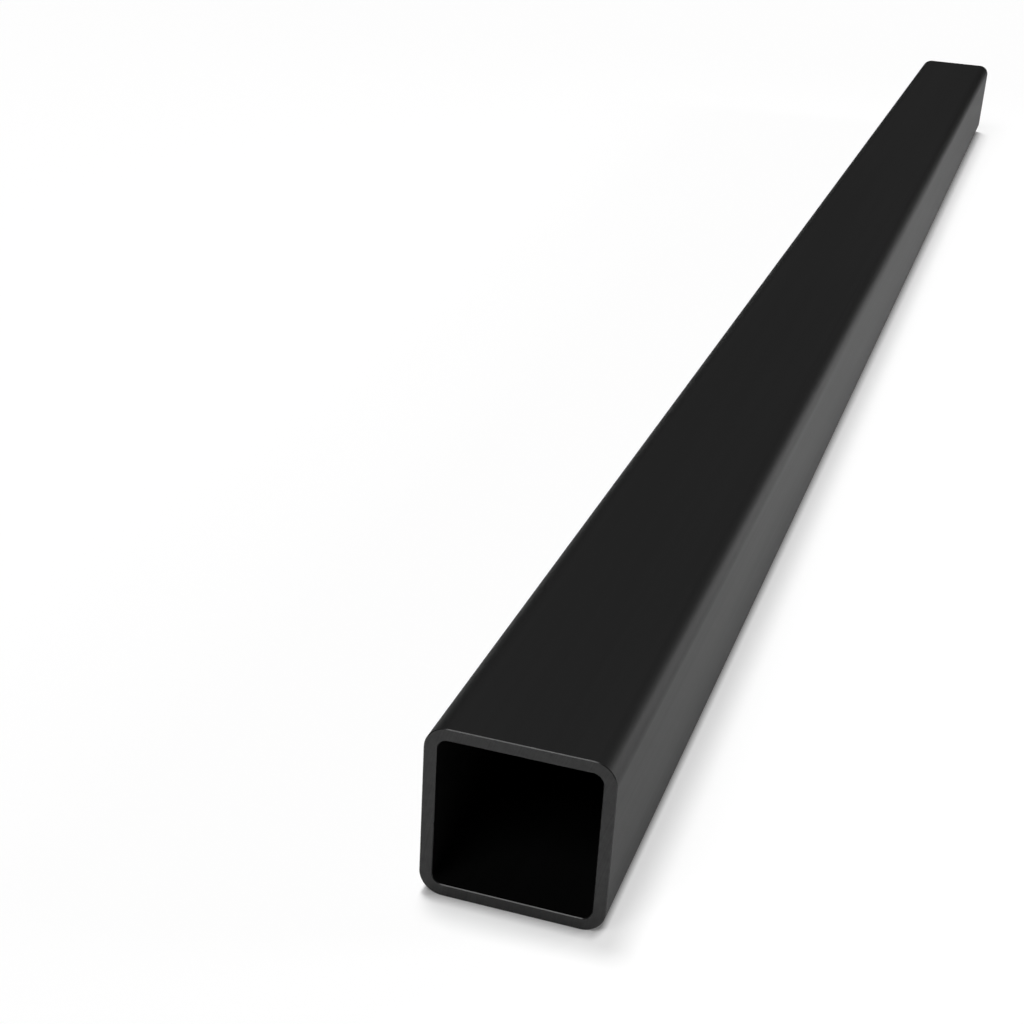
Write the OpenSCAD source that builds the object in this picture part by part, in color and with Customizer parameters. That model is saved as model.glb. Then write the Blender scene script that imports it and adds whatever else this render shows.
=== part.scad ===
// Square box section in rigid PVC: one extruded length with an even wall, sawn square at both ends
// and deburred. It lies along Y on its base, with the origin at the middle of the base.

/* [Section] */
// Outside width of the section, along X
section_w = 50; // [30:1:100]
// Outside height of the section, along Z
section_h = 50; // [30:1:100]
// Wall thickness, the same on every side and round the corners
wall = 3.5; // [2:0.25:5]
// Outside radius of the four long corners
corner_r = 6.5; // [6:0.5:12]

/* [Length] */
// Length from one sawn end to the other, along Y
cut_length = 1100; // [100:10:3000]

/* [Sawn ends] */
// Size of the 45 degree deburr on the outside edge of each end
outer_deburr = 0.2; // [0.1:0.1:0.9]
// Size of the 45 degree deburr on the edge of the bore at each end
bore_deburr = 0.2; // [0.1:0.1:0.9]

/* [Hidden] */
$fn = 96;

// The bore follows the outside at one wall's distance, so its corners share the outside's centres
bore_w = section_w - 2 * wall;
bore_h = section_h - 2 * wall;
bore_corner_r = corner_r - wall;

// Which side of an outline is cut away by a deburr
outward = 1;
inward = -1;

// Filled outline of a rectangle whose corners are true arcs
module rounded_rectangle(w, h, r) {
    square([w - 2 * r, h], center = true);
    square([w, h - 2 * r], center = true);
    for (x = [-1, 1], y = [-1, 1])
        translate([x * (w / 2 - r), y * (h / 2 - r)])
            circle(r = r);
}

// What the die leaves: the outline with the bore taken out of it
module wall_profile() {
    difference() {
        rounded_rectangle(section_w, section_h, corner_r);
        rounded_rectangle(bore_w, bore_h, bore_corner_r);
    }
}

// Triangle that a deburr removes. X runs away from the outline and Y out of the sawn end;
// it overshoots both faces by the deburr's own size, so that no skin is left on either.
module deburr_profile(size, side) {
    polygon([
        [side * size, size],
        [side * size, -2 * size],
        [-side * 2 * size, size]
    ]);
}

// The same triangle carried round a whole outline, straight along each side and turned at each corner
module deburr_ring(w, h, r, size, side) {
    for (quarter = [0 : 3]) {
        across = quarter % 2 == 0;
        run = (across ? w : h) - 2 * r;
        reach = (across ? h : w) / 2;
        rotate([0, 0, 90 * quarter]) {
            translate([0, reach, 0])
                rotate([90, 0, 90])
                    linear_extrude(height = run, center = true)
                        deburr_profile(size, side);
            translate([run / 2, reach - r, 0])
                rotate_extrude(angle = 90)
                    translate([r, 0])
                        deburr_profile(size, side);
        }
    }
}

// Both edges of one sawn end, at the end of the extrusion's axis
module end_deburrs() {
    translate([0, 0, cut_length / 2]) {
        deburr_ring(section_w, section_h, corner_r, outer_deburr, outward);
        deburr_ring(bore_w, bore_h, bore_corner_r, bore_deburr, inward);
    }
}

// The whole piece, turned from the extrusion's axis to lie along Y with its base at zero
module box_section() {
    color("#242425")
        translate([0, 0, section_h / 2])
            rotate([90, 0, 0])
                difference() {
                    linear_extrude(height = cut_length, center = true)
                        wall_profile();
                    end_deburrs();
                    mirror([0, 0, 1])
                        end_deburrs();
                }
}

box_section();
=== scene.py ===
"""A length of black PVC box section on a white studio floor, in metres.

The bar lies along Y on its base, with the origin at the middle of the base. +X is its lit side.
"""
import math

import bpy
from mathutils import Matrix, Vector


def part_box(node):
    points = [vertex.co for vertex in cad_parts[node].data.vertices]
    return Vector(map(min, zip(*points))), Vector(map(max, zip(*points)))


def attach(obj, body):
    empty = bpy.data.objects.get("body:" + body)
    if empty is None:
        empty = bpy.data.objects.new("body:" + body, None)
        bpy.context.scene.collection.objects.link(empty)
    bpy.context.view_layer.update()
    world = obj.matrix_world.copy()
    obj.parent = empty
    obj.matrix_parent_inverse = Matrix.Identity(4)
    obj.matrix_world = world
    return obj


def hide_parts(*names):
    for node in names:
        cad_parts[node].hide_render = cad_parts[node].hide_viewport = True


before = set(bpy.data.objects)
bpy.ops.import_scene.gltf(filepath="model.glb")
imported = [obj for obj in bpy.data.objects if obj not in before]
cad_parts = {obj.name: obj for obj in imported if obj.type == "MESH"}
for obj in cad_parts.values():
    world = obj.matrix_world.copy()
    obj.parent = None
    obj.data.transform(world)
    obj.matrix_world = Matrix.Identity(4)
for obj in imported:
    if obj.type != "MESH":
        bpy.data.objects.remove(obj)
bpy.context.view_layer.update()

# Sizes of the section. Its width, height and length are read from the part in model.glb.
WALL = 0.0035
CORNER_RADIUS = 0.0065
CORNER_STEPS = 24
DEBURR = 0.0002
# An edge that bends by more degrees than this stays sharp
SHARP_BEND = 30

# The saw blade's middle, from the bar's own origin, and the scale of the arcs it leaves on the cut faces
BLADE_ASIDE = 0.19
BLADE_ABOVE = -0.02
ARCS_PER_METRE = 2200

# Camera: where it stands, where it looks and how far it leans, in metres and degrees
CAMERA_ASIDE = 0.1008
CAMERA_BEFORE_END = 0.3498
CAMERA_HEIGHT = 0.2725
CAMERA_TURN = 16.73
CAMERA_DIP = 26.72
CAMERA_LEAN = 3.42
# Its lens and its upward shift in pixels of the picture, and its sensor in millimetres
PICTURE_SIDE = 1024
FOCAL_PIXELS = 1751.6
SHIFT_PIXELS = 88
SENSOR_WIDTH = 36.0

# Wide far lamps: how far each leans aside and behind from straight up, how wide it is, and its strength
SOFT_SUNS = {
    "overhead": (-8.0, 10.0, 12.0, 0.70),
    "front_left": (-15.0, -40.0, 30.0, 0.25),
}
# Small lamps low on the right: place and strength
LOW_LAMPS = {
    "low_right": ((0.6, -0.25, 0.30), 0.21),
    "low_right_behind": ((1.0, 0.70, 0.30), 1.68),
}
LOW_LAMP_RADIUS = 0.08
LOW_LAMP_SPREAD = 100
LOW_LAMP_AIM = (0.02, -0.3, 0.05)
# What little light the dim room gives from all round
ROOM_LIGHT = 0.01

FLOOR_SIDE = 12.0
# How much of the floor's white is shown whatever the light, which keeps its shadows pale, and the share
# of that which reflections show too
FLOOR_LIFT = 0.6
REFLECTED_SHARE = 0.5
# The painted shadow where the bar meets the floor, a dark fringe drawn into the floor's white: how much of
# the lift is left in it, how far in under the bar's side it starts, how far it reaches before an end, and
# beside the middle with its growth along Y
PAINTED_SHADOW_LIFT = 0.1
PAINTED_SHADOW_INSET = 0.0016
PAINTED_SHADOW_BEFORE_END = 0.004
PAINTED_SHADOW_BESIDE = 0.0037
PAINTED_SHADOW_GROWTH = 0.0034


class Term:
    """An output in a node tree. Sums on terms are written as plain Python, and each adds a Math node."""

    def __init__(self, graph, node, output=0):
        self.graph = graph
        self.node = node
        self.socket = node.outputs[output]

    def out(self, name):
        """Another output of the same node."""
        return Term(self.graph, self.node, name)

    def math(self, operation, first, second=0.0, clamp=False):
        settings = {"operation": operation, "use_clamp": clamp}
        return self.graph.add("ShaderNodeMath", settings, {0: first, 1: second})

    def __add__(self, other):
        return self.math("ADD", self, other)

    def __radd__(self, other):
        return self.math("ADD", other, self)

    def __sub__(self, other):
        return self.math("SUBTRACT", self, other)

    def __rsub__(self, other):
        return self.math("SUBTRACT", other, self)

    def __mul__(self, other):
        return self.math("MULTIPLY", self, other)

    def __rmul__(self, other):
        return self.math("MULTIPLY", other, self)

    def __truediv__(self, other):
        return self.math("DIVIDE", self, other)

    def __rtruediv__(self, other):
        return self.math("DIVIDE", other, self)

    def __gt__(self, other):
        return self.math("GREATER_THAN", self, other)

    def __lt__(self, other):
        return self.math("LESS_THAN", self, other)

    def __abs__(self):
        return self.math("ABSOLUTE", self)

    def at_least(self, other):
        """The larger of the two."""
        return self.math("MAXIMUM", self, other)

    def clamped(self):
        """The same amount kept from 0 to 1."""
        return self.math("ADD", self, 0.0, clamp=True)


class Graph:
    """A node tree that is filled one node at a time."""

    def __init__(self, tree):
        self.tree = tree

    def add(self, kind, settings=None, sockets=None):
        """Adds a node: its settings first, then a value or a Term for each of its sockets."""
        node = self.tree.nodes.new(kind)
        for name, value in (settings or {}).items():
            setattr(node, name, value)
        for name, value in (sockets or {}).items():
            if isinstance(value, Term):
                self.tree.links.new(value.socket, node.inputs[name])
            else:
                node.inputs[name].default_value = value
        return Term(self, node) if node.outputs else None


def material_graph(name):
    material = bpy.data.materials.new(name)
    material.use_nodes = True
    material.node_tree.nodes.clear()
    return material, Graph(material.node_tree)


def place_on(graph):
    """The place on the object itself, in metres."""
    return graph.add("ShaderNodeTexCoord").out("Object")


def split(graph, place):
    """The X, Y and Z of a place, each on its own."""
    parts = graph.add("ShaderNodeSeparateXYZ", None, {"Vector": place})
    return parts.out("X"), parts.out("Y"), parts.out("Z")


def how_far(graph, across, along):
    """The length of a step across and a step along."""
    step = graph.add("ShaderNodeCombineXYZ", None, {"X": across, "Y": along})
    return graph.add("ShaderNodeVectorMath", {"operation": "LENGTH"}, {0: step}).out("Value")


def shade_between(graph, amount, dark, light):
    """A grey that moves from dark to light as the amount goes from 0 to 1."""
    mix = graph.add("ShaderNodeMix", {"data_type": "RGBA"}, {
        0: amount,
        6: (dark, dark, dark, 1),
        7: (light, light, light, 1),
    })
    return mix.out(2)


def noise(graph, place, size):
    """Smooth noise from 0 to 1 whose spots are about one size across, in metres."""
    return graph.add("ShaderNodeTexNoise", None, {"Vector": place, "Scale": 1 / size, "Detail": 2})


def stretched(graph, spot, share):
    """The place on the bar with its length squeezed, so that noise on it runs in lines along the bar."""
    return graph.add("ShaderNodeVectorMath", {"operation": "MULTIPLY"}, {0: spot, 1: (1, share, 1)})


def plastic(colour, roughness, height, depth, ior):
    """Finishes a material from what its surface does. Depth is how deep its relief goes, in metres."""
    graph = colour.graph
    relief = graph.add("ShaderNodeBump", None, {"Strength": 1.0, "Distance": depth, "Height": height})
    shader = graph.add("ShaderNodeBsdfPrincipled", None, {
        "Base Color": colour,
        "Roughness": roughness,
        "IOR": ior,
        "Normal": relief,
    })
    graph.add("ShaderNodeOutputMaterial", None, {"Surface": shader})


def extruded_plastic(name, grey, line_depth, ior):
    """Satin black as it leaves the die: lines along the length, a fine grain and a slow drift in gloss."""
    material, graph = material_graph(name)
    spot = place_on(graph)
    die_lines = noise(graph, stretched(graph, spot, share=0.004), size=0.0009)
    drift = noise(graph, stretched(graph, spot, share=0.06), size=0.018)
    grain = noise(graph, spot, size=0.0004)
    colour = shade_between(graph, die_lines, dark=grey * 0.8, light=grey * 1.25)
    roughness = 0.50 + die_lines * 0.05 + drift * 0.07
    plastic(colour, roughness, height=die_lines + grain * 0.6, depth=line_depth, ior=ior)
    return material


def sawn_plastic(name):
    """A cut face: duller and a little greyer, with a faint mottle and the arcs that a round blade leaves."""
    material, graph = material_graph(name)
    spot = place_on(graph)
    across, _, above = split(graph, spot)
    from_blade = how_far(graph, across - BLADE_ASIDE, above - BLADE_ABOVE)
    arcs = graph.add("ShaderNodeTexNoise", {"noise_dimensions": "1D"}, {
        "W": from_blade,
        "Scale": ARCS_PER_METRE,
        "Detail": 3,
    })
    fuzz = noise(graph, spot, size=0.0005)
    mottle = noise(graph, spot, size=0.0022)
    # The mixed noise keeps mostly between 0.32 and 0.68, and is brought out to run from 0 to 1
    streaks = (arcs * 0.35 + fuzz * 0.25 + mottle * 0.4 - 0.32) / 0.36
    colour = shade_between(graph, streaks, dark=0.027, light=0.047)
    roughness = 0.53 + arcs * 0.08 + fuzz * 0.06
    plastic(colour, roughness, height=arcs + fuzz * 0.5, depth=0.000012, ior=1.3)
    return material


def scraped_plastic(name):
    """The broken edge of a cut, which the scraper has left smoother than the faces beside it. It is darker
    than them too, so that it stays a thin dark line wherever no highlight falls on it.
    """
    material, graph = material_graph(name)
    chatter = noise(graph, place_on(graph), size=0.0015)
    colour = shade_between(graph, chatter, dark=0.008, light=0.016)
    plastic(colour, roughness=0.18 + chatter * 0.12, height=chatter, depth=0.000004, ior=1.43)
    return material


def section_tree():
    """The form of a box section: the wall's own long section, swept round the middle line of the wall."""
    tree = bpy.data.node_groups.new("box_section_form", "GeometryNodeTree")
    inputs = {
        "Width": "Float",
        "Height": "Float",
        "Length": "Float",
        "Wall": "Float",
        "Corner Radius": "Float",
        "Corner Steps": "Int",
        "Deburr": "Float",
        "Skin": "Material",
        "Sawn End": "Material",
        "Edge": "Material",
        "Bore": "Material",
    }
    for name, kind in inputs.items():
        tree.interface.new_socket(name, in_out="INPUT", socket_type="NodeSocket" + kind)
    tree.interface.new_socket("Geometry", in_out="OUTPUT", socket_type="NodeSocketGeometry")
    graph = Graph(tree)
    given = graph.add("NodeGroupInput")
    width, height, length = given.out("Width"), given.out("Height"), given.out("Length")
    wall, radius, deburr = given.out("Wall"), given.out("Corner Radius"), given.out("Deburr")

    def rectangle(across, along, corner, steps):
        """A rectangle whose corners are rounded in steps. One step cuts them off at 45 degrees."""
        sides = graph.add("GeometryNodeCurvePrimitiveQuadrilateral", None, {"Width": across, "Height": along})
        return graph.add("GeometryNodeFilletCurve", {"mode": "POLY"}, {
            "Curve": sides,
            "Count": steps,
            "Radius": corner,
        })

    middle_line = rectangle(width - wall, height - wall, radius - wall / 2, given.out("Corner Steps"))
    middle_line = graph.add("GeometryNodeSetCurveNormal", {"mode": "Z_UP"}, {"Curve": middle_line})
    wall_section = rectangle(wall, length, deburr, 1)
    form = graph.add("GeometryNodeCurveToMesh", None, {"Curve": middle_line, "Profile Curve": wall_section})
    raised = graph.add("ShaderNodeCombineXYZ", None, {"Z": height / 2})
    form = graph.add("GeometryNodeTransform", None, {
        "Geometry": form,
        "Translation": raised,
        "Rotation": (math.radians(90), 0, 0),
    })
    form = graph.add("GeometryNodeSetShadeSmooth", None, {"Geometry": form})
    bend = graph.add("GeometryNodeInputMeshEdgeAngle").out("Unsigned Angle")
    form = graph.add("GeometryNodeSetShadeSmooth", {"domain": "EDGE"}, {
        "Geometry": form, "Selection": bend > math.radians(SHARP_BEND), "Shade Smooth": False,
    })

    # A face gets its finish from where its middle lies, and the last one that fits it holds. Deeper than
    # three quarters of the wall is the bore, within the deburr's length of an end is the broken edge, and
    # on the end itself is the sawn face.
    x, y, z = split(graph, graph.add("GeometryNodeInputPosition"))
    out_x = abs(x) - width / 2
    out_z = abs(z - height / 2) - height / 2
    in_bore = out_x.at_least(out_z) < wall * -0.75
    in_edge = abs(y) > length / 2 - deburr * 0.999
    in_end = abs(y) > length / 2 - deburr * 0.01
    form = graph.add("GeometryNodeRealizeInstances", None, {"Geometry": form})
    form = graph.add("GeometryNodeSetMaterial", None, {"Geometry": form, "Material": given.out("Skin")})
    for part, where in {"Bore": in_bore, "Edge": in_edge, "Sawn End": in_end}.items():
        form = graph.add("GeometryNodeSetMaterial", None, {
            "Geometry": form, "Selection": where, "Material": given.out(part),
        })
    graph.add("NodeGroupOutput", None, {"Geometry": form})
    return tree


def finished_mesh(name, tree, values):
    """Runs a form with its values, and returns the result as a plain object with its normals set by area."""
    carrier = bpy.data.objects.new(name + "_form", bpy.data.meshes.new(name + "_form"))
    bpy.context.scene.collection.objects.link(carrier)
    form = carrier.modifiers.new("form", "NODES")
    form.node_group = tree
    for item in tree.interface.items_tree:
        if item.in_out == "INPUT":
            form[item.identifier] = values[item.name]
    flats = carrier.modifiers.new("flat_sides", "WEIGHTED_NORMAL")
    flats.keep_sharp = True
    flats.weight = 100
    state = bpy.context.evaluated_depsgraph_get()
    mesh = bpy.data.meshes.new_from_object(
        carrier.evaluated_get(state), preserve_all_data_layers=True, depsgraph=state
    )
    mesh.name = name
    bpy.data.objects.remove(carrier)
    piece = bpy.data.objects.new(name, mesh)
    bpy.context.scene.collection.objects.link(piece)
    return piece


def box_section():
    low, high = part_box("box_section")
    size = high - low
    piece = finished_mesh("box_section_bar", section_tree(), {
        "Width": size.x,
        "Height": size.z,
        "Length": size.y,
        "Wall": WALL,
        "Corner Radius": CORNER_RADIUS,
        "Corner Steps": CORNER_STEPS,
        "Deburr": DEBURR,
        "Skin": extruded_plastic("extruded_skin", grey=0.0045, line_depth=0.000006, ior=1.3),
        "Sawn End": sawn_plastic("sawn_end"),
        "Edge": scraped_plastic("scraped_edge"),
        "Bore": extruded_plastic("bore_skin", grey=0.004, line_depth=0.000010, ior=1.2),
    })
    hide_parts("box_section")
    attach(piece, "root")


def clear_of_bar(graph):
    """Goes from 0 where the bar meets the floor to 1 at the far side of the painted shadow round it."""
    _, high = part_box("box_section")
    across, along, _ = split(graph, place_on(graph))
    beside = (abs(across) - (high.x - PAINTED_SHADOW_INSET)) / (PAINTED_SHADOW_BESIDE + along * PAINTED_SHADOW_GROWTH)
    before = (abs(along) - high.y) / PAINTED_SHADOW_BEFORE_END
    rounded = how_far(graph, (beside + 1).at_least(0), (before + 1).at_least(0))
    return (rounded - 1).clamped()


def floor_white():
    """White paper whose shadows are pale, apart from a painted shadow along where the bar meets it."""
    material, graph = material_graph("floor_white")
    paper = graph.add("ShaderNodeBsdfDiffuse", None, {"Color": (1, 1, 1, 1)})
    white = graph.add("ShaderNodeEmission", None, {"Color": (1, 1, 1, 1), "Strength": 1.0})
    rays = graph.add("ShaderNodeLightPath")
    shown = rays.out("Is Camera Ray") + rays.out("Is Glossy Ray") * REFLECTED_SHARE
    # Near the bar the lift is drawn down, which paints a dark shadow fringe into the floor's white
    lift = shown * FLOOR_LIFT * (PAINTED_SHADOW_LIFT + clear_of_bar(graph) * (1 - PAINTED_SHADOW_LIFT))
    shader = graph.add("ShaderNodeMixShader", None, {0: lift, 1: paper, 2: white})
    graph.add("ShaderNodeOutputMaterial", None, {"Surface": shader})
    return material


def floor():
    half = FLOOR_SIDE / 2
    corners = [(-half, -half, 0), (half, -half, 0), (half, half, 0), (-half, half, 0)]
    mesh = bpy.data.meshes.new("studio_floor")
    mesh.from_pydata(corners, [], [(0, 1, 2, 3)])
    mesh.materials.append(floor_white())
    piece = bpy.data.objects.new("studio_floor", mesh)
    bpy.context.scene.collection.objects.link(piece)


def soft_sun(name, aside, behind, spread, strength):
    """A wide far lamp that leans from straight up. Its strength is the white that it gives a level floor."""
    lean = Vector((math.tan(math.radians(aside)), math.tan(math.radians(behind)), 1)).normalized()
    sun = bpy.data.lights.new(name, "SUN")
    sun.energy = math.pi * strength / lean.z
    sun.angle = math.radians(spread)
    lamp = bpy.data.objects.new(name, sun)
    lamp.rotation_euler = lean.to_track_quat("Z", "Y").to_euler()
    bpy.context.scene.collection.objects.link(lamp)


def low_lamp(name, place, strength):
    """A small lamp low on the right. Together they draw the light line along the rounded corner."""
    glow = bpy.data.lights.new(name, "SPOT")
    glow.energy = 4 * math.pi * strength
    glow.spot_size = math.radians(LOW_LAMP_SPREAD)
    glow.spot_blend = 1.0
    glow.shadow_soft_size = LOW_LAMP_RADIUS
    lamp = bpy.data.objects.new(name, glow)
    lamp.location = place
    aim = Vector(LOW_LAMP_AIM) - lamp.location
    lamp.rotation_euler = aim.to_track_quat("-Z", "Y").to_euler()
    lamp.visible_camera = False
    bpy.context.scene.collection.objects.link(lamp)


def lights():
    for name, (aside, behind, spread, strength) in SOFT_SUNS.items():
        soft_sun(name, aside, behind, spread, strength)
    for name, (place, strength) in LOW_LAMPS.items():
        low_lamp(name, place, strength)


def backdrop():
    """A dim room, which the camera sees as plain white."""
    world = bpy.data.worlds.new("studio")
    world.use_nodes = True
    world.node_tree.nodes.clear()
    bpy.context.scene.world = world
    graph = Graph(world.node_tree)
    rays = graph.add("ShaderNodeLightPath")
    room = graph.add("ShaderNodeBackground", None, {"Color": (1, 1, 1, 1), "Strength": ROOM_LIGHT})
    white = graph.add("ShaderNodeBackground", None, {"Color": (1, 1, 1, 1), "Strength": 1.0})
    sky = graph.add("ShaderNodeMixShader", None, {0: rays.out("Is Camera Ray"), 1: room, 2: white})
    graph.add("ShaderNodeOutputWorld", None, {"Surface": sky})


def camera():
    low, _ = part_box("box_section")
    data = bpy.data.cameras.new("camera")
    data.sensor_width = SENSOR_WIDTH
    data.lens = FOCAL_PIXELS * SENSOR_WIDTH / PICTURE_SIDE
    data.shift_y = SHIFT_PIXELS / PICTURE_SIDE
    data.clip_start = 0.01
    data.clip_end = 50
    eye = bpy.data.objects.new("camera", data)
    place = Matrix.Translation((CAMERA_ASIDE, low.y - CAMERA_BEFORE_END, CAMERA_HEIGHT))
    turn = Matrix.Rotation(math.radians(CAMERA_TURN), 4, "Z")
    dip = Matrix.Rotation(math.radians(90 - CAMERA_DIP), 4, "X")
    lean = Matrix.Rotation(math.radians(CAMERA_LEAN), 4, "Z")
    eye.matrix_world = place @ turn @ dip @ lean
    bpy.context.scene.collection.objects.link(eye)
    bpy.context.scene.camera = eye


box_section()
floor()
lights()
backdrop()
camera()
bpy.context.scene.view_settings.view_transform = "Standard"
